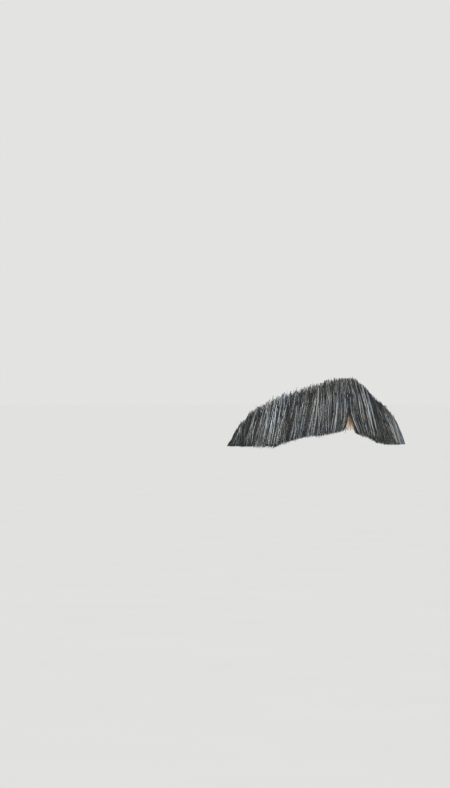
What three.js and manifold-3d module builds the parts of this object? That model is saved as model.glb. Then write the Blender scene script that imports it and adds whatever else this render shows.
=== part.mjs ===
// A false moustache: two wings of hair, combed down and outwards from a parting and trimmed along the lip, on a
// curved lace backing. Millimetres, +Z up. The front looks along -Y, and the wearer's right is at -X. The origin
// is on the back of the lace, in the middle of the lip.
import * as THREE from "three";
import { mergeVertices } from "three/addons/utils/BufferGeometryUtils.js";
import Module from "manifold-3d";

const wasm = await Module();
wasm.setup();

// The lip that the lace lies on
const LIP_RADIUS = 58.5; // in plan, at the origin's height
const LIP_LEAN = 0.1; // how far the lip comes forward for each mm further down

// The outline
const RIGHT_LENGTH = 48.0; // along the lip, from the parting to the right tip
const LEFT_LENGTH = 47.2; // and to the left tip
const PEAK_RISE = 8.8; // top edge over the origin, at the parting
const TIP_DROP = 19.6; // trimmed ends under the origin, at the tips
const TIP_SWEEP = 6.6; // how far outwards the last hairs run on their way down
const RIGHT_FOOT = 0.9; // from the parting's line to the right wing's first trimmed end
const LEFT_FOOT = 2.6; // and to the left wing's
const RAGGED_ENDS = 0.5; // how much longer or shorter a lock may be

// The hair
const HAIR_DEPTH = 6.4; // in front of the lace, where it is full
const TIP_DEPTH = 2.1; // the same at a tip
const TIP_FADE = 0.33; // the share of a wing over which the depth falls away to its tip
const ROOT_BAND = 1.2; // thickness of the band of knots and roots that carries the locks
const ROOT_BAND_REACH = 0.68; // how far down the hair the band reaches, as a share of its length
const ROOT_BAND_ROWS = 4;
const LOCKS = 13; // in a wing
const LOCK_SIDES = 8;
const LOCK_STEPS = 7;
const LOCK_OVERLAP = 1.3; // a lock's width as a share of the locks' spacing
const LOCK_INSET = 0.25; // a lock's back in front of the root band's back
const END_TAPER = 0.5; // how much a lock's section shrinks by its trimmed end
const END_BLUNTNESS = 6; // a higher power keeps a lock full for longer before its end
const RAGGED_STEP = 2.4; // radians of the wave in the locks' lengths from one lock to the next

// The lace
const LACE_THICKNESS = 1.0;
const LACE_MARGIN = 0.9; // hair over the lace's top edge
const FREE_HAIR = 7.4; // hair that hangs under the lace's bottom edge
const LACE_TIP_MARGIN = 7.0; // from the lace's end to the hair's tip
const LACE_COLUMNS = 17; // an odd number, which leaves a flat column in the middle
const LACE_ROWS = 3;

const CLEARANCE = 0.3; // between the lace and the hair, and between the two wings
const BACK_OF_HAIR = LACE_THICKNESS + CLEARANCE;

// The top edge and the trimmed edge of each wing. Along is a share of the wing's length from the parting. Heights
// are shares of the way from the tips' lowest ends (0) to the top of the parting (1).
const OUTLINE = [
  { along: 0.0, rightTop: 1.0, rightTrim: 0.24, leftTop: 1.0, leftTrim: 0.24 },
  { along: 0.1, rightTop: 0.98, rightTrim: 0.215, leftTop: 1.015, leftTrim: 0.22 },
  { along: 0.22, rightTop: 0.92, rightTrim: 0.18, leftTop: 0.965, leftTrim: 0.175 },
  { along: 0.38, rightTop: 0.835, rightTrim: 0.13, leftTop: 0.765, leftTrim: 0.09 },
  { along: 0.56, rightTop: 0.735, rightTrim: 0.055, leftTop: 0.62, leftTrim: 0.02 },
  { along: 0.74, rightTop: 0.58, rightTrim: 0.01, leftTop: 0.445, leftTrim: 0.005 },
  { along: 0.88, rightTop: 0.385, rightTrim: 0.0, leftTop: 0.31, leftTrim: 0.0 },
  { along: 1.0, rightTop: 0.1, rightTrim: 0.0, leftTop: 0.08, leftTrim: 0.0 },
];

// How deep the hair is on its way down, as a share of its full depth.
const DEPTHS = [
  { down: 0.0, depth: 0.2 },
  { down: 0.12, depth: 0.55 },
  { down: 0.3, depth: 0.85 },
  { down: 0.6, depth: 1.0 },
  { down: 1.0, depth: 1.08 },
];

// How a hair's run outwards is spread over its way down: a power over 1 starts steeply and turns out late.
const BENDS = [
  { across: 0.0, power: 3.0 },
  { across: 0.15, power: 1.4 },
  { across: 0.75, power: 1.1 },
  { across: 1.0, power: 0.8 },
];

const WINGS = {
  right: { direction: -1, length: RIGHT_LENGTH, foot: RIGHT_FOOT, ...outlineOf("rightTop", "rightTrim") },
  left: { direction: 1, length: LEFT_LENGTH, foot: LEFT_FOOT, ...outlineOf("leftTop", "leftTrim") },
};
const depthShare = curveThrough(DEPTHS, "down", "depth");
const bend = curveThrough(BENDS, "across", "power");

// A smooth curve through one column of a table.
function curveThrough(rows, place, column) {
  const places = rows.map((row) => row[place]);
  const values = rows.map((row) => row[column]);
  const curve = new THREE.CubicInterpolant(places, values, 1, [0]);
  return (at) => curve.evaluate(at)[0];
}

function outlineOf(topColumn, trimColumn) {
  const height = (share) => THREE.MathUtils.lerp(-TIP_DROP, PEAK_RISE, share);
  const top = curveThrough(OUTLINE, "along", topColumn);
  const trim = curveThrough(OUTLINE, "along", trimColumn);
  return { top: (along) => height(top(along)), trim: (along) => height(trim(along)) };
}

// The point at a distance along the lip from the parting, at a height, and so far out from the lip.
function overLip(along, up, out) {
  const angle = along / LIP_RADIUS;
  const reach = LIP_RADIUS - LIP_LEAN * up + out;
  return new THREE.Vector3(reach * Math.sin(angle), LIP_RADIUS - reach * Math.cos(angle), up);
}

// The point in a wing's hair: across is 0 at the parting and 1 at the tip, down is 0 at the roots and 1 at the
// trimmed ends. Hairs start close together and run outwards as they go down.
function inWing(wing, across, down, out, longer = 0) {
  const place = THREE.MathUtils.clamp(across, 0, 1);
  const root = THREE.MathUtils.lerp(CLEARANCE / 2, wing.length - TIP_SWEEP, place);
  const end = THREE.MathUtils.lerp(wing.foot, wing.length, place);
  const along = THREE.MathUtils.lerp(root, end, down ** bend(place));
  const foot = wing.trim(end / wing.length) - longer;
  const up = THREE.MathUtils.lerp(wing.top(root / wing.length), foot, down);
  return overLip(wing.direction * along, up, out);
}

// The hair's depth there, which falls away towards the tip in a rounded shoulder.
function hairDepth(across, down) {
  const toTip = 1 - THREE.MathUtils.clamp(across, 0, 1);
  const fullness = Math.sqrt(Math.min(1, toTip / TIP_FADE));
  return THREE.MathUtils.lerp(TIP_DEPTH, HAIR_DEPTH, fullness) * depthShare(down);
}

// Moves each corner of a geometry to the place that a function gives it.
function reshape(geometry, place) {
  geometry.deleteAttribute("normal");
  geometry.deleteAttribute("uv");
  const merged = mergeVertices(geometry);
  const corners = merged.getAttribute("position");
  const corner = new THREE.Vector3();
  for (let i = 0; i < corners.count; i += 1) {
    corner.fromBufferAttribute(corners, i);
    corners.setXYZ(i, ...place(corner));
  }
  return merged;
}

// A wing that runs to the left is built the other way round, so its triangles are turned to face out again.
function toSolid(geometry, wing) {
  const vertProperties = new Float32Array(geometry.getAttribute("position").array);
  const corners = new Uint32Array(geometry.index.array);
  const triVerts = wing.direction > 0 ? corners : corners.reverse();
  return new wasm.Manifold(new wasm.Mesh({ numProp: 3, vertProperties, triVerts }));
}

function toGeometry(solid) {
  const { vertProperties, triVerts } = solid.getMesh();
  const geometry = new THREE.BufferGeometry();
  geometry.setAttribute("position", new THREE.BufferAttribute(vertProperties, 3));
  geometry.setIndex(new THREE.BufferAttribute(triVerts, 1));
  geometry.computeVertexNormals();
  return geometry;
}

// A lock: a tapering oval bundle from the roots to a narrowed, trimmed end.
function lock(wing, number) {
  const longer = RAGGED_ENDS * Math.sin(RAGGED_STEP * number);
  const bundle = new THREE.CylinderGeometry(1, 1, 1, LOCK_SIDES, LOCK_STEPS);
  return toSolid(
    reshape(bundle, ({ x, y, z }) => {
      const down = Math.sin(((0.5 - y) * Math.PI) / 2); // steps close up towards the trimmed end
      const taper = Math.sqrt(1 - END_TAPER * down ** END_BLUNTNESS);
      const across = (number + 0.5 + (x * taper * LOCK_OVERLAP) / 2) / LOCKS;
      const front = BACK_OF_HAIR + hairDepth(across, down);
      const back = BACK_OF_HAIR + LOCK_INSET;
      const out = (front + back) / 2 + (z * taper * (front - back)) / 2;
      return inWing(wing, across, down, out, longer);
    }),
    wing,
  );
}

// The band of roots behind the locks, from the top edge to about the lace's bottom edge.
function rootBand(wing) {
  const band = new THREE.BoxGeometry(1, 1, 1, LOCKS, ROOT_BAND_ROWS, 1);
  return toSolid(
    reshape(band, ({ x, y, z }) => {
      const across = x + 0.5;
      const down = (0.5 - y) * ROOT_BAND_REACH;
      return inWing(wing, across, down, BACK_OF_HAIR + (0.5 + z) * ROOT_BAND);
    }),
    wing,
  );
}

function hairWing(wing) {
  let solid = rootBand(wing);
  for (let number = 0; number < LOCKS; number += 1) solid = solid.add(lock(wing, number));
  return toGeometry(solid);
}

// The lace backing: a thin curved wall inside the hair's outline.
function laceBacking() {
  const wall = new THREE.BoxGeometry(1, 1, 1, LACE_COLUMNS, LACE_ROWS, 1);
  return reshape(wall, ({ x, y, z }) => {
    const wing = x < 0 ? WINGS.right : WINGS.left;
    const along = Math.abs(2 * x) * (wing.length - LACE_TIP_MARGIN);
    const top = wing.top(along / wing.length) - LACE_MARGIN;
    const bottom = wing.trim(along / wing.length) + FREE_HAIR;
    const up = THREE.MathUtils.lerp(bottom, top, y + 0.5);
    return overLip(wing.direction * along, up, (0.5 + z) * LACE_THICKNESS);
  });
}

const hairMaterial = new THREE.MeshStandardMaterial({ color: 0x5a5d5d, roughness: 0.5, metalness: 0 });
const laceMaterial = new THREE.MeshStandardMaterial({ color: 0xc4a684, roughness: 0.9, metalness: 0 });

const moustache = new THREE.Group();
function addPiece(name, geometry, material) {
  const piece = new THREE.Mesh(geometry, material);
  piece.name = name;
  moustache.add(piece);
}
addPiece("hair_right", hairWing(WINGS.right), hairMaterial);
addPiece("hair_left", hairWing(WINGS.left), hairMaterial.clone());
addPiece("net_backing", laceBacking(), laceMaterial);

export default moustache;
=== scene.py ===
# A false moustache as it is worn: grey hair knotted on a curved lace, in two wings parted in the middle.
# Lengths are in millimetres unless a name says otherwise, in the part's own frame: +Z up, front towards -Y.
# The pair of a random draw is its lowest and its highest value, and a spread is a standard deviation.
import math

import bmesh
import bpy
import numpy as np
from mathutils import Matrix, Vector
from mathutils.kdtree import KDTree


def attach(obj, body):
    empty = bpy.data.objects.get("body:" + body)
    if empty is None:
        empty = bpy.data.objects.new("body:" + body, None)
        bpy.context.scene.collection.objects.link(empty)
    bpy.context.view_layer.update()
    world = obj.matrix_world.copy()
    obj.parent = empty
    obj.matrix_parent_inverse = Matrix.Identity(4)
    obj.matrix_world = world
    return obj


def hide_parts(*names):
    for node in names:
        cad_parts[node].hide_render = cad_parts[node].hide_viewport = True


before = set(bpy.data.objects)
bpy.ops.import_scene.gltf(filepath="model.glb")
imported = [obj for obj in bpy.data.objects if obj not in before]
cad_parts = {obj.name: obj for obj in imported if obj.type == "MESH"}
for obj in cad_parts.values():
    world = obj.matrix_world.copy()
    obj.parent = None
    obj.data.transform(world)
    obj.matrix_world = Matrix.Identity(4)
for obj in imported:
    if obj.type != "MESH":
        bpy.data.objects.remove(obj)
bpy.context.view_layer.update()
MM = 0.001


def table(columns, *rows):
    """A table's columns by name."""
    return dict(zip(columns.split(), np.transpose(rows)))


# The lip that the lace lies on, and the hair's depth on it, as in the part's source
LIP_RADIUS = 58.5  # in plan, at the origin's height
LIP_LEAN = 0.1  # how far the lip comes forward for each mm further down
PEAK_RISE = 8.8  # top edge over the origin, at the parting
TIP_DROP = 19.6  # trimmed ends under the origin, at the tips
HAIR_DEPTH = 6.4  # where the hair is full
TIP_DEPTH = 2.1  # the same at a tip
TIP_FADE = 0.33  # the share of a wing over which the depth falls away to its tip

# Along is a share of a wing's length. Heights are shares of the way from the tips (0) to the parting's top
# (1). They differ a little from the source's, to follow the loose hair's edges in the photograph.
OUTLINE = table(
    "along right_top right_trim left_top left_trim",
    (0.00, 1.000, 0.212, 1.000, 0.225),
    (0.10, 0.980, 0.212, 1.015, 0.220),
    (0.22, 0.920, 0.180, 0.925, 0.175),
    (0.38, 0.835, 0.145, 0.725, 0.090),
    (0.56, 0.735, 0.078, 0.575, 0.020),
    (0.74, 0.580, 0.015, 0.405, 0.005),
    (0.88, 0.385, 0.000, 0.310, 0.000),
    (1.00, 0.100, 0.000, 0.080, 0.040),
)
# How deep the hair is on its way down, as a share of its full depth
DEPTHS = table("down share", (0.0, 0.58), (0.12, 0.67), (0.3, 0.76), (0.6, 0.88), (1.0, 1.0))
# How far outwards a hair runs on its way down, and the power of that run, at a share of the way across a wing
RUNS = table(
    "across run power", (0.0, 0.9, 1.0), (0.12, 3.5, 1.0), (0.35, 4.6, 1.0), (0.7, 3.7, 1.0), (1.0, 1.2, 0.95)
)
# How much lighter the hair is there, in each wing
SILVERING = table(
    "across right left",
    (0.00, 0.00, -0.03),
    (0.10, 0.13, 0.07),
    (0.18, 0.02, 0.00),
    (0.30, 0.05, -0.03),
    (0.42, -0.07, 0.04),
    (0.54, -0.01, 0.14),
    (0.66, 0.17, 0.16),
    (0.78, 0.00, 0.14),
    (0.90, -0.16, 0.08),
    (1.00, -0.40, 0.00),
)

# The hair beside the parting
PARTING_FADE = 0.16  # the share of a wing over which the hair thickens and stops turning out
PARTING_DIP_START = 0.25  # the hair thins from this share of the way down
PARTING_DIP_REACH = 0.45  # and is thinnest this much further
PAST_WING = 0.02  # how far past a wing's ends a hair may lie, as a share of its width
SHORTEST = 12.0  # root ends stand lower in proportion where the hair is shorter than this

# The lace
LACE_MARGIN = 1.7  # hair over the lace's top edge
FREE_HAIR = 7.4  # hair that hangs under the lace's bottom edge
LACE_TIP_MARGIN = 5.0  # from the lace's end to the hair's tip
LACE_TIP_SHARE = 0.5  # towards a tip, the lace reaches this share of the way down the hair
LACE_BACK = 0.15  # the lace's threads in front of the lip
LACE_THREAD = 0.25  # real tulle is finer; drawn so thick that it shows
LACE_CELL = 0.5  # a side of one six-sided hole; real tulle's is finer too
LACE_MERGE = 0.05  # corners of neighbouring cells closer than this are one crossing

# The hair on the lace
HAIR_LIFT = 0.5  # roots in front of the lip
HAIR_CLEAR = 0.3  # the innermost hair in front of the roots
HAIR_RADIUS = 0.07  # a coarse hair is 0.1 mm across, drawn a little thicker so that it shows
STRAND_SIDES = 3
STEPS = np.array([0.0, 0.02, 0.09, 0.25, 0.43, 0.61, 0.79, 0.97, 1.0])  # where a strand's rings are
KNOT_SIZE = 0.2  # the radius of a knot's lump
KNOT_LIFT = 0.4  # knots in front of the lip

# Tone from 0 to 1, and the hair's colour there
GREY_TONES = [(0.0, "171816"), (0.35, "2d302e"), (0.6, "525656"), (0.8, "888d8f"), (1.0, "cfd4d7")]
GINGER_TONES = [(0.0, "4a3a24"), (1.0, "c8a672")]
COOL_TINT = (0.88, 0.98, 1.12, 1.0)  # what dye does to a hair's grey at warmth 0
WARM_TINT = (1.13, 1.02, 0.86, 1.0)  # and at warmth 1
CHARCOAL = (0.0, 0.4)  # tones of most hairs
GREY = (0.45, 0.7)  # of some
SILVER = (0.8, 1.0)  # of a few
CHARCOAL_SHARE = 0.59
UP_TO_GREY_SHARE = 0.86  # charcoal and grey together
SILVER_STOUTER_FROM = 0.75  # hairs lighter than this tone
SILVER_STOUTER = 1.25  # are this many times as thick
WARMTH = 0.5  # of the hair on the whole
PATTERN_SHIFTS = (0, 100.1)  # sets the flecks and painted glints of one tuft apart from the next one's

# Sizes of the materials' patterns
GLINT_AND_FLECK = 3.85  # a lighter or darker stretch of a hair: partly its own uneven tone, partly a painted glint
DYE_PATCH = 11.11  # a warmer or cooler patch of hair
LACE_PATCH = 3.85  # a paler patch of the lace
TWIST = 0.1667  # one twist of the lace's thread, coarser than real as the thread is
PAPER_PATCH = 333.3  # a faint patch of the floor's paper; its real fibres are too fine to show

# The long hairs of a wing: their rows of knots, and how they gather in broad clumps and narrow tufts
LONG_HAIRS = 8400
TOP_ROW = 0.025  # the first knots, as a share of the way down the hair
LOWEST_ROW = (0.1, 1.0)
LAYER_SPREAD = 0.1  # the higher a hair is rooted, the further out it lies, apart from this
LAYERS = (0.02, 1.0)  # from 0 next to the lace to 1 furthest out
CLUMPS = 24
CLUMP_MIDDLE = (0.2, 0.8)
CLUMP_STEPS = [-1, 0, 0, 0, 0, 0, 1]  # two hairs in seven go with a neighbouring clump
CLUMP_PULL = (0.15, 0.5)  # how far a hair moves to its clump's middle on its way down
CLUMP_OUT_SPREAD = 0.35
CLUMP_LONGER_SPREAD = 0.02
CLUMP_TONE_SPREAD = 0.03
TUFTS = 1100
TUFT_DEEPER = 4  # a tuft is this many times as deep as it is wide, both as shares
TUFT_PULL = (0.3, 0.85)
TUFT_TONE_SPREAD = 0.2
TUFT_DRIFT_SPREAD = 0.024
TUFT_LONGER_SPREAD = 0.015
TUFT_WARMTH_SPREAD = 0.12
HAIR_DRIFT_SPREAD = 0.012
HAIR_LONGER_SPREAD = 0.01
HAIR_WARMTH_SPREAD = 0.08

# Roots of the outer rows that lie folded up in line with their hair and stand over the top edge
FOLDED_ROWS = 0.3  # of the rows from the top
FOLDED_SHARE = 0.5  # of the hairs in them
FOLDED_PULL = 0.6  # how far they are moved to their tuft's middle
STAND_LOWEST = -1.8
STAND_RANGE = 3.3
STAND_POWER = 1.6  # over 1, so that few stand high
STAND_SPREAD = 0.3
BRISTLE_AT_PARTING = 0.6  # how high root ends stand beside the parting, as a share
BRISTLE_GAIN = 0.6  # how much higher than that they stand
BRISTLE_REACH = 0.5  # from this share of the way across

# A long hair's own way
WAVE_SPREAD = 0.004
WAVE_TURNS = (3, 8)  # radians from root to end
WAVE_PHASES = (0, 6.3)  # about a full turn
STRAY_SHARE = 0.09
STRAY_SPREAD = 0.05
DRIFT_AT_PARTING = 0.3  # the share of the drift that is left there, so that the parting stays open
DRIFT_REACH = 0.12  # it is full from this share of the way across
SHORT_SHARE = 0.12
SHORTER = (0.03, 0.22)
RISE_RATE = 20  # how soon a hair rises from its knot to its layer
SETTLE_POWER = 8  # how soon it leaves the line of its knot
STOUTNESS = (0.8, 1.2)
HAIR_TAPER = 0.4
PAINTED_ROOT_SHADE = 0.11  # painted shade: how much darker a hair's tone is made at its root, standing in for the shadow of the nose above and of the packed hair
PAINTED_ROOT_SHADE_REACH = 0.45  # as a share of its length
PAINTED_END_SHADE = 0.04  # and painted shade at its end, where the hair turns under, away from the light
PAINTED_END_SHADE_START = 0.75

# The short root ends over the top edge
END_TUFTS = 220
HAIRS_IN_END_TUFT = 6
END_RISE = (-0.3, 1.3)
END_LAYERS = (0.0, 0.9)
END_LAYER_POWER = 1.6  # over 1, so that most lie far out
END_BASE_SPREAD = 0.006
END_TIP_SPREAD = 0.003
END_BASE = (0.05, 0.3)  # how far down they start, as a share
END_HEIGHTS = (0.6, 1.05)
END_LAYER_SHARES = (0.8, 1.05)
END_TONE_SPREAD = 0.15
END_TAPER = 0.5

# The loose hairs in the parting
WISPS = 60
WISP_START = (0.5, 5.6)  # along the lip, to the wearer's left
WISP_TOP = (-5.4, -2.0)
WISP_BOTTOM = (-13.4, -10.0)
WISP_DRIFT_SPREAD = 0.8
WISP_OUT = (0.8, 2.6)
WISP_RISE_RATE = 6
WISP_STOUTNESS = (1.0, 1.5)
WISP_TONES = (0.4, 1.0)
WISP_TAPER = 0.3

# Seeds of the random draws. The left wing's are one more.
LONG_HAIR_SEED = 11
ROOT_END_SEED = 31
WISP_SEED = 51

# Camera
PHOTO_WIDTH, PHOTO_HEIGHT = 450, 788
PIXELS_FOR_A_MM = 2.33  # at the part's origin
CAMERA_DISTANCE = 1500.0
CAMERA_AZIMUTH, CAMERA_ELEVATION = -36.0, 0.5
ORIGIN_PIXEL = (337.8, 400.0)  # where the part's origin falls, across and down
SENSOR = 36.0

# Studio: floor, sky and lamps
FLOOR_DROP = 700.0  # under the origin, far enough for the lamps to leave no bright patch in the picture
FLOOR_RADIUS = 80_000.0
SKY_STRENGTH = 0.85
OVERHEAD_PLACE = (-60, 55)  # azimuth and elevation
OVERHEAD_SPREAD, OVERHEAD_STRENGTH = 60, 0.6
LAMPS = {
    "key": {"azimuth": -62, "elevation": 35, "distance": 700.0, "side": 400.0, "watts": 3.5},
    "fill": {"azimuth": 25, "elevation": 15, "distance": 800.0, "side": 500.0, "watts": 1.75},
}


def curve_through(places, values):
    """A smooth curve through a table's column that doesn't swing past its values, as a function of place."""
    steps = np.diff(values) / np.diff(places)
    before, after = steps[:-1], steps[1:]
    mean = 2 * before * after / np.where(before * after > 0, before + after, 1)
    slopes = np.concatenate([steps[:1], np.where(before * after > 0, mean, 0), steps[-1:]])

    def read(at):
        at = np.clip(at, places[0], places[-1])
        row = np.clip(np.searchsorted(places, at, side="right") - 1, 0, len(places) - 2)
        gap = places[row + 1] - places[row]
        t = (at - places[row]) / gap
        start = values[row] + slopes[row] * gap * t
        end = values[row + 1] - slopes[row + 1] * gap * (1 - t)
        ease = t * t * (3 - 2 * t)
        return start * (1 - ease) + end * ease

    return read


def smooth(x):
    """Runs from 0 to 1 with level ends."""
    x = np.clip(x, 0, 1)
    return x * x * (3 - 2 * x)


depth_share = curve_through(DEPTHS["down"], DEPTHS["share"])
run_out = curve_through(RUNS["across"], RUNS["run"])
bend = curve_through(RUNS["across"], RUNS["power"])


class Wing:
    """One wing's outline and the way its hairs run.

    Bristle is how high its root ends stand, and sweep how far its hairs run outwards, both as a share.
    Start is where the parting's first hair is rooted, foot how far that hair turns outwards, curl the power
    of the turn, and parting_depth the share of the hair's depth beside the parting.
    """

    def __init__(self, name, direction, length, bristle, sweep, start, foot, curl, parting_depth):
        self.name = name
        self.direction = direction
        self.length = length
        self.bristle = bristle
        self.sweep = sweep
        self.start = start
        self.foot = foot
        self.curl = curl
        self.parting_depth = parting_depth
        self.silvering = curve_through(SILVERING["across"], SILVERING[name])
        self.top = self.edge("top")
        self.trim = self.edge("trim")

    def edge(self, which):
        """The height of an edge, as a function of the share of the way along."""
        heights = OUTLINE[f"{self.name}_{which}"] * (PEAK_RISE + TIP_DROP) - TIP_DROP
        return curve_through(OUTLINE["along"], heights)

    def place(self, across, down):
        """Along the lip and up, at a share of the way across the wing and down the hair."""
        across = np.clip(across, -PAST_WING, 1 + PAST_WING)
        run = run_out(across) * self.sweep
        last_root = self.length - RUNS["run"][-1] * self.sweep
        root = self.start + (last_root - self.start) * across
        way = np.sign(down) * np.abs(down) ** bend(across)
        curl = self.foot * smooth(1 - across / PARTING_FADE)
        along = root + run * way + curl * np.abs(down) ** self.curl
        end = root + run + curl
        top = self.top(root / self.length)
        up = top + (self.trim(end / self.length) - top) * down
        return along, up

    def height(self, across):
        """The length of the hair's way down there."""
        return self.place(across, 0)[1] - self.place(across, 1)[1]

    def standing(self, across):
        """How high root ends stand over the top edge there, as a share. It is less beside the parting."""
        return self.bristle * (BRISTLE_AT_PARTING + BRISTLE_GAIN * smooth(across / BRISTLE_REACH))


# The right wing's roots reach past the middle.
WINGS = [
    Wing("right", -1, 48.0, bristle=1.1, sweep=1.0, start=-3.1, foot=3.7, curl=5.5, parting_depth=0.85),
    Wing("left", 1, 47.2, bristle=0.7, sweep=0.65, start=1.7, foot=5.2, curl=2.2, parting_depth=0.42),
]


def over_lip(along, up, out):
    """Points over the lip in metres, from millimetres along it, up, and out from it."""
    angle = along / LIP_RADIUS
    reach = LIP_RADIUS - LIP_LEAN * up + out
    return np.stack([reach * np.sin(angle), LIP_RADIUS - reach * np.cos(angle), up + 0 * angle], -1) * MM


def hair_depth(wing, across, down):
    """How far the hair's front stands before its back. It thins towards the tip and beside the parting."""
    fullness = np.sqrt(np.clip((1 - across) / TIP_FADE, 0, 1))
    near_parting = smooth(1 - across / PARTING_FADE)
    thin = (1 - wing.parting_depth) * near_parting * smooth((down - PARTING_DIP_START) / PARTING_DIP_REACH)
    return (TIP_DEPTH + (HAIR_DEPTH - TIP_DEPTH) * fullness) * depth_share(down) * (1 - thin)


def nearest(places, points):
    """The number of the place that lies nearest to each point, both in two dimensions."""
    tree = KDTree(len(places))
    for number, (x, y) in enumerate(places):
        tree.insert((x, y, 0), number)
    tree.balance()
    return np.array([tree.find((x, y, 0))[1] for x, y in points])


def linear(hex_colour):
    """An sRGB hex colour as linear numbers with alpha."""
    values = [int(hex_colour[i : i + 2], 16) / 255 for i in (0, 2, 4)]
    return [v / 12.92 if v <= 0.04045 else ((v + 0.055) / 1.055) ** 2.4 for v in values] + [1.0]


def add_node(tree, kind, settings=(), values=(), links=()):
    """Adds a node with its settings, its input values and the outputs that feed its inputs."""
    node = tree.nodes.new(kind)
    for name, value in dict(settings).items():
        setattr(node, name, value)
    for name, value in dict(values).items():
        node.inputs[name].default_value = value
    for name, output in dict(links).items():
        tree.links.new(output, node.inputs[name])
    return node


def new_material(name):
    material = bpy.data.materials.new(name)
    material.use_nodes = True
    material.node_tree.nodes.clear()
    return material, material.node_tree


def set_ramp(node, stops):
    """Gives a colour ramp its stops: place and hex colour."""
    ramp = node.color_ramp
    while len(ramp.elements) > 1:
        ramp.elements.remove(ramp.elements[-1])
    ramp.elements[0].position, ramp.elements[0].color = stops[0][0], linear(stops[0][1])
    for place, colour in stops[1:]:
        ramp.elements.new(place).color = linear(colour)


def noise_scale(size):
    """The scale of a noise texture whose patches have this size."""
    return 1 / (size * MM)


def hair_material(name, stops):
    """Dyed yak and human hair, mixed: smooth scaled fibres with a soft gloss, coloured by each strand's tone.

    Flecks give a hair lighter and darker stretches, partly its own uneven tone and partly painted glints
    where light would catch a wavy hair, and the fading makes patches of it warmer or cooler, as uneven dye
    does.
    """
    material, tree = new_material(name)
    tone = add_node(tree, "ShaderNodeAttribute", {"attribute_name": "tone"})
    ramp = add_node(tree, "ShaderNodeValToRGB", links={"Fac": tone.outputs["Fac"]})
    set_ramp(ramp, stops)
    place = add_node(tree, "ShaderNodeTexCoord")
    shift = add_node(tree, "ShaderNodeAttribute", {"attribute_name": "shift"})
    # Painted glints: the colour is made lighter and darker along each strand, where light would catch it
    glint_and_fleck = add_node(
        tree,
        "ShaderNodeTexNoise",
        {"noise_dimensions": "4D"},
        {"Scale": noise_scale(GLINT_AND_FLECK), "Detail": 2.0},
        {"Vector": place.outputs["Object"], "W": shift.outputs["Fac"]},
    )
    spread = add_node(
        tree,
        "ShaderNodeMapRange",
        values={"From Min": 0.3, "From Max": 0.7, "To Min": 0.7, "To Max": 1.3},
        links={"Value": glint_and_fleck.outputs["Fac"]},
    )
    warmth = add_node(tree, "ShaderNodeAttribute", {"attribute_name": "warmth"})
    fading = add_node(
        tree,
        "ShaderNodeTexNoise",
        values={"Scale": noise_scale(DYE_PATCH), "Detail": 1.0},
        links={"Vector": place.outputs["Object"]},
    )
    drift = add_node(
        tree,
        "ShaderNodeMapRange",
        {"clamp": False},
        {"From Min": 0.3, "From Max": 0.7, "To Min": 0.35, "To Max": -0.35},
        {"Value": fading.outputs["Fac"]},
    )
    hue = add_node(
        tree,
        "ShaderNodeMath",
        {"operation": "ADD"},
        links={0: warmth.outputs["Fac"], 1: drift.outputs["Result"]},
    )
    tint = add_node(
        tree,
        "ShaderNodeMix",
        {"data_type": "RGBA", "clamp_factor": False},
        {"A": COOL_TINT, "B": WARM_TINT},
        {"Factor": hue.outputs["Value"]},
    )
    dyed = add_node(
        tree,
        "ShaderNodeVectorMath",
        {"operation": "MULTIPLY"},
        links={0: ramp.outputs["Color"], 1: tint.outputs["Result"]},
    )
    shade = add_node(
        tree,
        "ShaderNodeVectorMath",
        {"operation": "SCALE"},
        links={"Vector": dyed.outputs["Vector"], "Scale": spread.outputs["Result"]},
    )
    shader = add_node(
        tree,
        "ShaderNodeBsdfPrincipled",
        values={"Roughness": 0.42, "Specular IOR Level": 0.32, "IOR": 1.55},
        links={"Base Color": shade.outputs["Vector"]},
    )
    add_node(tree, "ShaderNodeOutputMaterial", links={"Surface": shader.outputs["BSDF"]})
    return material


def lace_material():
    """Cotton tulle dyed flesh colour: dull twisted thread, paler in patches where it is worn."""
    material, tree = new_material("flesh_tulle")
    place = add_node(tree, "ShaderNodeTexCoord")
    dye = add_node(
        tree,
        "ShaderNodeTexNoise",
        values={"Scale": noise_scale(LACE_PATCH), "Detail": 3.0},
        links={"Vector": place.outputs["Object"]},
    )
    ramp = add_node(tree, "ShaderNodeValToRGB", links={"Fac": dye.outputs["Fac"]})
    set_ramp(ramp, [(0.3, "b18c66"), (0.7, "d2b28d")])
    twist = add_node(
        tree,
        "ShaderNodeTexNoise",
        values={"Scale": noise_scale(TWIST), "Detail": 1.0},
        links={"Vector": place.outputs["Object"]},
    )
    bump = add_node(
        tree,
        "ShaderNodeBump",
        values={"Strength": 0.4, "Distance": 0.0001},
        links={"Height": twist.outputs["Fac"]},
    )
    shader = add_node(
        tree,
        "ShaderNodeBsdfPrincipled",
        values={"Roughness": 0.85, "Sheen Weight": 0.2, "Sheen Roughness": 0.5},
        links={"Base Color": ramp.outputs["Color"], "Normal": bump.outputs["Normal"]},
    )
    add_node(tree, "ShaderNodeOutputMaterial", links={"Surface": shader.outputs["BSDF"]})
    return material


def paper_material():
    """Pressed seamless paper for the floor: matt and almost white, with faint patches."""
    material, tree = new_material("seamless_paper")
    place = add_node(tree, "ShaderNodeTexCoord")
    patches = add_node(
        tree,
        "ShaderNodeTexNoise",
        values={"Scale": noise_scale(PAPER_PATCH), "Detail": 4.0},
        links={"Vector": place.outputs["Object"]},
    )
    ramp = add_node(tree, "ShaderNodeValToRGB", links={"Fac": patches.outputs["Fac"]})
    set_ramp(ramp, [(0.0, "e6e6e5"), (1.0, "eaeae9")])
    shader = add_node(
        tree,
        "ShaderNodeBsdfPrincipled",
        values={"Roughness": 0.95},
        links={"Base Color": ramp.outputs["Color"]},
    )
    add_node(tree, "ShaderNodeOutputMaterial", links={"Surface": shader.outputs["BSDF"]})
    return material


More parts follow.
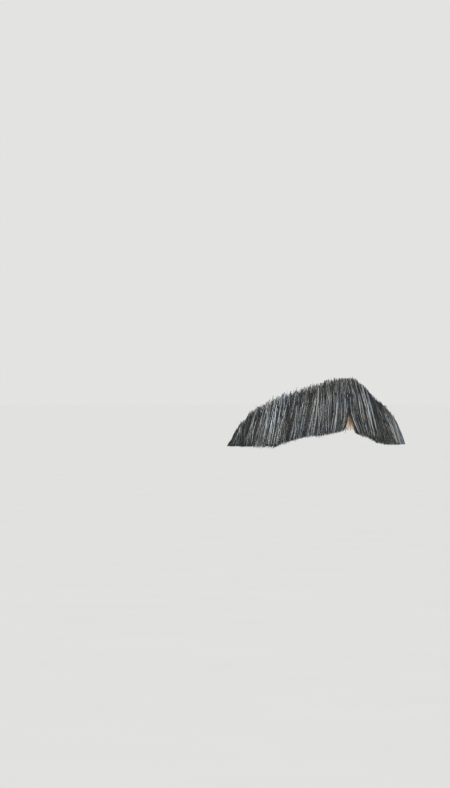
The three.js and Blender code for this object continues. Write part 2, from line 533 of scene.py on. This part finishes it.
def strand_corners(paths, radii):
    """The corners of a thin round spindle along each path: a point, the rings between, and a point."""
    tiny = 1e-12  # keeps a length of nothing from being divided by
    run = np.gradient(paths, axis=1)
    run /= np.linalg.norm(run, axis=2, keepdims=True) + tiny
    centre = np.array([0.0, LIP_RADIUS * MM, 0.0])
    front = (paths - centre) * (1, 1, 0)
    side = np.cross(run, front)
    side /= np.linalg.norm(side, axis=2, keepdims=True) + tiny
    front = np.cross(side, run)
    turn = np.arange(STRAND_SIDES) * 2 * math.pi / STRAND_SIDES + math.pi / 2
    ring = front[:, 1:-1, None] * np.cos(turn)[:, None] + side[:, 1:-1, None] * np.sin(turn)[:, None]
    hoops = paths[:, 1:-1, None] + ring * radii[:, 1:-1, None, None]
    return np.concatenate([paths[:, :1], hoops.reshape(len(paths), -1, 3), paths[:, -1:]], axis=1)


def strand_faces(rings):
    """A strand's faces as numbers of its corners, and each face corner's side and ring for the map."""
    last = 1 + (rings - 2) * STRAND_SIDES

    def hoop(ring, side):
        return 1 + (ring - 1) * STRAND_SIDES + side % STRAND_SIDES

    faces, spots = [], []
    for j in range(STRAND_SIDES):
        faces.append([0, hoop(1, j + 1), hoop(1, j)])
        spots.append([(j + 0.5, 0), (j + 1, 1), (j, 1)])
        for k in range(1, rings - 2):
            faces.append([hoop(k, j), hoop(k, j + 1), hoop(k + 1, j + 1), hoop(k + 1, j)])
            spots.append([(j, k), (j + 1, k), (j + 1, k + 1), (j, k + 1)])
        faces.append([hoop(rings - 2, j), hoop(rings - 2, j + 1), last])
        spots.append([(j, rings - 2), (j + 1, rings - 2), (j + 0.5, rings - 1)])
    return faces, np.concatenate(spots).astype(float)


def strand_map(count, rings, spots):
    """Where each face corner lies in the map. Each strand has a cell of its own, with a margin round it."""
    narrower = 3  # a cell is this many times as high as it is wide
    margin = 0.12
    columns = math.ceil(math.sqrt(count * narrower))
    rows = math.ceil(count / columns)
    spot = margin + (1 - 2 * margin) * spots / (STRAND_SIDES, rings - 1)
    number = np.arange(count)
    cell = np.stack([number % columns, number // columns], -1)
    return (cell[:, None] + spot[None]) / (columns, rows)


def strand_mesh(name, paths, radii, facts):
    """Joins thin round spindles along many paths into one mesh.

    Paths are strands by rings by 3, in metres. A strand's first and last ring close to a point. Facts are
    numbers for each strand, or for each of its rings, kept as attributes. The map is named OFBake.
    """
    count, rings = paths.shape[:2]
    corners = strand_corners(paths, radii)
    faces, spots = strand_faces(rings)
    each = corners.shape[1]
    pattern = np.concatenate(faces)
    loops = (pattern[None] + np.arange(count)[:, None] * each).ravel()
    sizes = np.tile([len(face) for face in faces], count)

    mesh = bpy.data.meshes.new(name)
    mesh.vertices.add(count * each)
    mesh.vertices.foreach_set("co", corners.astype(np.float32).ravel())
    mesh.loops.add(len(loops))
    mesh.loops.foreach_set("vertex_index", loops.astype(np.int32))
    mesh.polygons.add(len(sizes))
    mesh.polygons.foreach_set("loop_start", (np.cumsum(sizes) - sizes).astype(np.int32))
    mesh.update(calc_edges=True)
    mesh.polygons.foreach_set("use_smooth", np.ones(len(sizes), bool))

    uv = strand_map(count, rings, spots)
    mesh.uv_layers.new(name="OFBake").data.foreach_set("uv", uv.astype(np.float32).ravel())
    for fact, values in facts.items():
        values = np.broadcast_to(values.reshape(count, -1), (count, rings))
        middle = np.repeat(values[:, 1:-1], STRAND_SIDES, axis=1)
        corner_values = np.concatenate([values[:, :1], middle, values[:, -1:]], axis=1)
        layer = mesh.attributes.new(fact, "FLOAT", "POINT")
        layer.data.foreach_set("value", corner_values.astype(np.float32).ravel())
    mesh.validate()
    return mesh


def add_piece(name, mesh, material, node):
    """Makes the piece of a mesh, with its finish, and has it ride and stand for its node."""
    piece = bpy.data.objects.new(name, mesh)
    bpy.context.collection.objects.link(piece)
    mesh.materials.append(material)
    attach(piece, "root")
    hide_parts(node)
    return piece


def lace_edges(along):
    """The lace's bottom and top edge at signed places along the lip, and whether the lace reaches each."""
    wing = [WINGS[int(x > 0)] for x in along]
    far = np.abs(along)
    share = np.array([x / w.length for x, w in zip(far, wing)])
    top = np.array([w.top(s) for w, s in zip(wing, share)]) - LACE_MARGIN
    trim = np.array([w.trim(s) for w, s in zip(wing, share)])
    bottom = trim + np.minimum(FREE_HAIR, LACE_TIP_SHARE * (top - trim))
    inside = np.array([x <= w.length - LACE_TIP_MARGIN for x, w in zip(far, wing)])
    return bottom, top, inside


def template(build):
    """The corners and faces of a small shape that a function builds with bmesh."""
    bm = bmesh.new()
    build(bm)
    corners = np.array([v.co[:] for v in bm.verts])
    faces = [[v.index for v in f.verts] for f in bm.faces]
    bm.free()
    return corners, faces


def joined_copies(shape, places):
    """The corners and faces of copies of a small shape, one at each place."""
    corners, faces = shape
    joined = (corners[None] + places[:, None]).reshape(-1, 3)
    return joined, [[i + k * len(corners) for i in face] for k in range(len(places)) for face in faces]


def lace_net():
    """The net: six-sided cells, merged and turned to threads, then laid round the lip.

    Also gives its crossings and its area, both taken while it is flat.
    """
    step_along, step_up = 1.5 * LACE_CELL, math.sqrt(3) * LACE_CELL  # as six-sided cells lie
    columns = int(WINGS[0].length / step_along)
    rows = int((PEAK_RISE + TIP_DROP) / step_up)
    along = np.arange(-columns, columns + 1) * step_along
    bottom, top, inside = lace_edges(along)
    places = []
    for i, x in enumerate(along):
        for j in range(-rows, rows):
            up = (j + 0.5 * (i % 2)) * step_up
            if inside[i] and bottom[i] < up < top[i]:
                places.append((x, 0, up))
    upright = Matrix.Rotation(math.pi / 2, 4, "X")
    cell = template(
        lambda bm: bmesh.ops.create_circle(bm, cap_ends=True, segments=6, radius=LACE_CELL, matrix=upright)
    )
    mesh = bpy.data.meshes.new("lace_net")
    corners, faces = joined_copies(cell, np.array(places))
    mesh.from_pydata(corners, [], faces)
    bm = bmesh.new()
    bm.from_mesh(mesh)
    bmesh.ops.remove_doubles(bm, verts=bm.verts, dist=LACE_MERGE)
    crossings = np.array([v.co[:] for v in bm.verts])
    flat_area = sum(f.calc_area() for f in bm.faces)
    bmesh.ops.recalc_face_normals(bm, faces=bm.faces)
    bmesh.ops.wireframe(bm, faces=bm.faces, thickness=LACE_THREAD, use_replace=True, use_boundary=True)
    bmesh.ops.recalc_face_normals(bm, faces=bm.faces)
    flat = np.array([v.co[:] for v in bm.verts])
    laid = over_lip(flat[:, 0], flat[:, 2], LACE_BACK + LACE_THREAD / 2 - flat[:, 1])
    for v, co in zip(bm.verts, laid):
        v.co = co
    bm.to_mesh(mesh)
    bm.free()
    mesh.polygons.foreach_set("use_smooth", np.ones(len(mesh.polygons), bool))
    return mesh, crossings[:, [0, 2]], flat_area


def tones(random, count, lighter):
    """How light each hair is: most are charcoal, some grey, a few silver, and more of these where lighter."""
    pick = random.random(count) + lighter
    charcoal = random.uniform(*CHARCOAL, count)
    grey = random.uniform(*GREY, count)
    silver = random.uniform(*SILVER, count)
    return np.where(pick < CHARCOAL_SHARE, charcoal, np.where(pick < UP_TO_GREY_SHARE, grey, silver))


def wing_hair(wing, crossings, seed):
    """The long hairs of one wing: paths, radii and facts, how far out each lies (0 to 1), and their knots."""
    random = np.random.default_rng(seed)
    count = LONG_HAIRS
    across = (np.arange(count) + random.random(count)) / count
    height = wing.height(across)
    lowest = np.clip(1 - FREE_HAIR / height, *LOWEST_ROW)
    row = random.random(count)
    root = TOP_ROW + row * (lowest - TOP_ROW)
    layer = np.clip(1 - row + random.normal(0, LAYER_SPREAD, count), *LAYERS)

    middles = (np.arange(CLUMPS) + random.uniform(*CLUMP_MIDDLE, CLUMPS)) / CLUMPS
    clump = np.clip((across * CLUMPS).astype(int) + random.choice(CLUMP_STEPS, count), 0, CLUMPS - 1)
    clump_pull = random.uniform(*CLUMP_PULL, CLUMPS)[clump]
    clump_out = random.normal(0, CLUMP_OUT_SPREAD, CLUMPS)[clump]
    clump_longer = random.normal(0, CLUMP_LONGER_SPREAD, CLUMPS)[clump]
    clump_tone = random.normal(0, CLUMP_TONE_SPREAD, CLUMPS)[clump]

    spots = random.random((TUFTS, 2))
    tuft = nearest(spots * (TUFT_DEEPER, 1), np.stack([across * TUFT_DEEPER, layer], -1))
    tuft_pull = random.uniform(*TUFT_PULL, TUFTS)[tuft]
    tuft_tone = random.normal(0, TUFT_TONE_SPREAD, TUFTS)[tuft]
    tuft_shift = random.uniform(*PATTERN_SHIFTS, TUFTS)[tuft]

    folded = (row < FOLDED_ROWS) & (random.random(count) < FOLDED_SHARE)
    stands = STAND_LOWEST + STAND_RANGE * random.random(TUFTS)[tuft] ** STAND_POWER
    stands = (stands + random.normal(0, STAND_SPREAD, count)) * wing.standing(across)
    root = np.where(folded, -stands / np.maximum(height, SHORTEST), root)
    across = np.where(folded, across + FOLDED_PULL * (spots[tuft, 0] - across), across)

    t = STEPS[None]
    ease = t * t * (3 - 2 * t)
    goes = across[:, None] + (middles[clump] - across)[:, None] * clump_pull[:, None] * ease
    goes = goes + (spots[tuft, 0] - across)[:, None] * tuft_pull[:, None] * ease
    wave = random.normal(0, WAVE_SPREAD, (count, 1)) * np.sin(
        t * random.uniform(*WAVE_TURNS, (count, 1)) + random.uniform(*WAVE_PHASES, (count, 1))
    )
    stray = (random.random(count) < STRAY_SHARE) * random.normal(0, STRAY_SPREAD, count)
    drift = random.normal(0, HAIR_DRIFT_SPREAD, count)
    drift = drift + random.normal(0, TUFT_DRIFT_SPREAD, TUFTS)[tuft] + stray
    drift *= DRIFT_AT_PARTING + (1 - DRIFT_AT_PARTING) * smooth(across / DRIFT_REACH)
    goes = goes + wave * t + drift[:, None] * t
    lies = layer[:, None] + (spots[tuft, 1] - layer)[:, None] * tuft_pull[:, None] * ease

    short = (random.random(count) < SHORT_SHARE) * random.uniform(*SHORTER, count)
    longer = random.normal(0, TUFT_LONGER_SPREAD, TUFTS)[tuft] + random.normal(0, HAIR_LONGER_SPREAD, count)
    end = 1 + clump_longer + longer - short
    down = root[:, None] + (end - root)[:, None] * t
    along, up = wing.place(goes, down)
    rise = np.where(folded[:, None], 1, 1 - np.exp(-RISE_RATE * t))
    out = (HAIR_CLEAR + lies * hair_depth(wing, goes, down) + clump_out[:, None] * ease) * rise
    out = np.maximum(HAIR_LIFT + out, HAIR_LIFT)

    along = wing.direction * along
    knot = nearest(crossings, np.stack([along[:, 0], up[:, 0]], -1))
    settle = np.where(folded[:, None], 0, (1 - t) ** SETTLE_POWER)
    along = along + (crossings[knot, 0] - along[:, 0])[:, None] * settle
    up = up + (crossings[knot, 1] - up[:, 0])[:, None] * settle
    paths = over_lip(along, up, out)

    tone = tones(random, count, clump_tone + tuft_tone + wing.silvering(across))
    stout = random.uniform(*STOUTNESS, count) * np.where(tone > SILVER_STOUTER_FROM, SILVER_STOUTER, 1.0)
    radii = HAIR_RADIUS * stout[:, None] * (1 - HAIR_TAPER * t) * MM
    warmth = random.normal(WARMTH, TUFT_WARMTH_SPREAD, TUFTS)[tuft]
    warmth = warmth + random.normal(0, HAIR_WARMTH_SPREAD, count)
    # Painted shade: each hair's tone is lowered near its root and near its end, where light would be blocked
    shade = PAINTED_ROOT_SHADE * (1 - smooth(t / PAINTED_ROOT_SHADE_REACH))
    shade = shade + PAINTED_END_SHADE * smooth((t - PAINTED_END_SHADE_START) / (1 - PAINTED_END_SHADE_START))
    facts = {"tone": tone[:, None] - shade, "warmth": warmth, "shift": tuft_shift}
    return paths, radii, facts, layer, np.unique(knot[~folded])


def root_ends(wing, seed):
    """The short root ends that stand over the top edge in small pointed tufts, through the hair's depth."""
    random = np.random.default_rng(seed)
    middles = (np.arange(END_TUFTS) + random.uniform(0.0, 1.0, END_TUFTS)) / END_TUFTS
    rise = random.uniform(*END_RISE, END_TUFTS) * wing.standing(middles)
    far = 1 - random.uniform(*END_LAYERS, END_TUFTS) ** END_LAYER_POWER
    tuft = np.repeat(np.arange(END_TUFTS), HAIRS_IN_END_TUFT)
    count = len(tuft)
    t = STEPS[None]
    start = middles[tuft] + random.normal(0, END_BASE_SPREAD, count)
    end = middles[tuft] + random.normal(0, END_TIP_SPREAD, count)
    across = start[:, None] + (end - start)[:, None] * t
    height = wing.height(across)
    base = random.uniform(*END_BASE, count)[:, None]
    top = (rise[tuft] * random.uniform(*END_HEIGHTS, count))[:, None] / np.maximum(height, SHORTEST)
    down = base - (base + top) * t
    along, up = wing.place(across, down)
    layer = far[tuft] * random.uniform(*END_LAYER_SHARES, count)
    out = HAIR_LIFT + HAIR_CLEAR + layer[:, None] * hair_depth(wing, across, np.maximum(down, 0))
    paths = over_lip(wing.direction * along, up, out)
    radii = HAIR_RADIUS * random.uniform(*STOUTNESS, count)[:, None] * (1 - END_TAPER * t) * MM
    tuft_tone = random.normal(0, END_TONE_SPREAD, END_TUFTS)[tuft]
    tone = tones(random, count, tuft_tone + wing.silvering(across[:, 0]))
    warmth = random.normal(WARMTH, TUFT_WARMTH_SPREAD, count)
    shift = random.uniform(*PATTERN_SHIFTS, END_TUFTS)[tuft]
    return paths, radii, {"tone": tone, "warmth": warmth, "shift": shift}


def parting_wisps(seed):
    """A few gingery hairs that hang loose in the parting."""
    random = np.random.default_rng(seed)
    t = STEPS[None]
    start = random.uniform(*WISP_START, WISPS)[:, None]
    top = random.uniform(*WISP_TOP, WISPS)[:, None]
    bottom = random.uniform(*WISP_BOTTOM, WISPS)[:, None]
    along = start + random.normal(0, WISP_DRIFT_SPREAD, WISPS)[:, None] * t
    out = HAIR_LIFT + random.uniform(*WISP_OUT, WISPS)[:, None] * (1 - np.exp(-WISP_RISE_RATE * t))
    paths = over_lip(along, top + (bottom - top) * t, out)
    radii = HAIR_RADIUS * random.uniform(*WISP_STOUTNESS, WISPS)[:, None] * (1 - WISP_TAPER * t) * MM
    return paths, radii, {"tone": random.uniform(*WISP_TONES, WISPS), "warmth": np.full(WISPS, WARMTH)}


def root_knots(crossings):
    """A small lump of tied charcoal hair on each crossing that carries hair."""
    knot_tone = 0.3
    lump = template(lambda bm: bmesh.ops.create_icosphere(bm, subdivisions=1, radius=KNOT_SIZE * MM))
    places = over_lip(crossings[:, 0], crossings[:, 1], KNOT_LIFT)
    mesh = bpy.data.meshes.new("root_knots")
    corners, faces = joined_copies(lump, places)
    mesh.from_pydata(corners, [], faces)
    tone = mesh.attributes.new("tone", "FLOAT", "POINT")
    tone.data.foreach_set("value", np.full(len(mesh.vertices), knot_tone, np.float32))
    return mesh


def round_object(azimuth, elevation):
    """The direction from the object towards a place round it. Azimuth 0 is straight in front."""
    a, e = math.radians(azimuth), math.radians(elevation)
    return Vector((math.sin(a) * math.cos(e), -math.cos(a) * math.cos(e), math.sin(e)))


def add_camera():
    """The camera stands so that the origin falls on its pixel of the photograph, with no shift."""
    back = round_object(CAMERA_AZIMUTH, CAMERA_ELEVATION)
    right = Vector((0, 0, 1)).cross(back).normalized()
    up = back.cross(right)
    to_right = (ORIGIN_PIXEL[0] - PHOTO_WIDTH / 2) / PIXELS_FOR_A_MM
    to_up = (ORIGIN_PIXEL[1] - PHOTO_HEIGHT / 2) / PIXELS_FOR_A_MM
    camera = bpy.data.objects.new("camera", bpy.data.cameras.new("camera"))
    bpy.context.collection.objects.link(camera)
    camera.data.sensor_width = SENSOR
    camera.data.lens = SENSOR * CAMERA_DISTANCE * PIXELS_FOR_A_MM / PHOTO_HEIGHT
    camera.location = (back * CAMERA_DISTANCE - right * to_right + up * to_up) * MM
    camera.rotation_euler = (-back).to_track_quat("-Z", "Y").to_euler()
    camera.data.clip_start, camera.data.clip_end = 0.05, 60
    bpy.context.scene.camera = camera


def add_lamp(name, azimuth, elevation, distance, side, watts):
    """A square soft lamp that looks at the object."""
    data = bpy.data.lights.new(name, "AREA")
    data.size, data.energy = side * MM, watts
    lamp = bpy.data.objects.new(name, data)
    bpy.context.collection.objects.link(lamp)
    towards = round_object(azimuth, elevation)
    lamp.location = towards * distance * MM
    lamp.rotation_euler = towards.to_track_quat("Z", "Y").to_euler()


def add_studio():
    """A wide pale floor under a pale sky, a soft key from the wearer's right and a weaker fill."""
    bm = bmesh.new()
    bmesh.ops.create_circle(bm, cap_ends=True, segments=96, radius=FLOOR_RADIUS * MM)
    bmesh.ops.translate(bm, verts=bm.verts, vec=(0, 0, FLOOR_DROP * -MM))
    mesh = bpy.data.meshes.new("floor")
    bm.to_mesh(mesh)
    bm.free()
    floor = bpy.data.objects.new("floor", mesh)
    mesh.materials.append(paper_material())
    bpy.context.collection.objects.link(floor)

    world = bpy.data.worlds.new("studio")
    world.use_nodes = True
    sky = world.node_tree.nodes["Background"]
    sky.inputs["Color"].default_value = linear("f4f4f3")
    sky.inputs["Strength"].default_value = SKY_STRENGTH
    bpy.context.scene.world = world
    bpy.context.scene.view_settings.view_transform = "Standard"

    overhead = bpy.data.objects.new("overhead", bpy.data.lights.new("overhead", "SUN"))
    overhead.data.energy, overhead.data.angle = OVERHEAD_STRENGTH, math.radians(OVERHEAD_SPREAD)
    overhead.rotation_euler = round_object(*OVERHEAD_PLACE).to_track_quat("Z", "Y").to_euler()
    bpy.context.collection.objects.link(overhead)
    for name, lamp in LAMPS.items():
        add_lamp(name, **lamp)


add_camera()
add_studio()

hair = hair_material("mixed_grey_hair", GREY_TONES)
ginger = hair_material("ginger_hair", GINGER_TONES)
lace = lace_material()
net_mesh, net_crossings, net_area = lace_net()
net = add_piece("lace_net", net_mesh, lace, "net_backing")

used = []
for wing_number, wing in enumerate(WINGS):
    node = f"hair_{wing.name}"
    paths, radii, facts, layer, knots = wing_hair(wing, net_crossings, LONG_HAIR_SEED + wing_number)
    used.append(knots)
    outer = layer > 0.5  # a wing's two halves in depth are two pieces
    for part, chosen in (("under", ~outer), ("over", outer)):
        name = f"{wing.name}_wing_{part}"
        chosen_facts = {fact: values[chosen] for fact, values in facts.items()}
        add_piece(name, strand_mesh(name, paths[chosen], radii[chosen], chosen_facts), hair, node)
    name = f"{wing.name}_root_ends"
    add_piece(name, strand_mesh(name, *root_ends(wing, ROOT_END_SEED + wing_number)), hair, node)

wisp_mesh = strand_mesh("parting_wisps", *parting_wisps(WISP_SEED))
add_piece("parting_wisps", wisp_mesh, ginger, "hair_left")
knot_mesh = root_knots(net_crossings[np.unique(np.concatenate(used))])
add_piece("root_knots", knot_mesh, hair, "net_backing")
